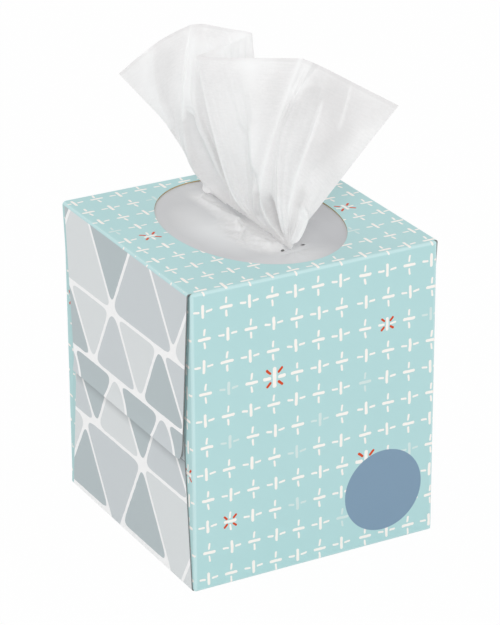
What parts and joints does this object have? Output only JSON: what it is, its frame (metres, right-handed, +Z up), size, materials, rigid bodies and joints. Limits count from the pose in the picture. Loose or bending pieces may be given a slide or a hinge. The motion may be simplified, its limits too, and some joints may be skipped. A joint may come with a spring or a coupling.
{
  "type": "tissue box",
  "caption": "Upright folded carton of facial tissues with an oval film window in its top and one tissue standing up out of the slit.",
  "frame": {"origin": "centre of the carton's base, on the surface that it stands on", "axes": "+Z up out of the opening, -Y towards the front panel, +X to the right, with the glued end flaps at -X and +X; the slit runs along Y"},
  "size_m": [0.1128, 0.111, 0.2033],
  "materials": {
    "printed_board": "coated satin board with a printed plus-stitch pattern on aqua, and grey triangles on the end flaps",
    "film": "thin translucent film",
    "tissue": "soft matt creped tissue"
  },
  "bodies": {
    "root": {"carton": "printed_board", "window_film": "film", "tissue_stack": "tissue", "popped_tissue": "tissue"}
  },
  "joints": []
}
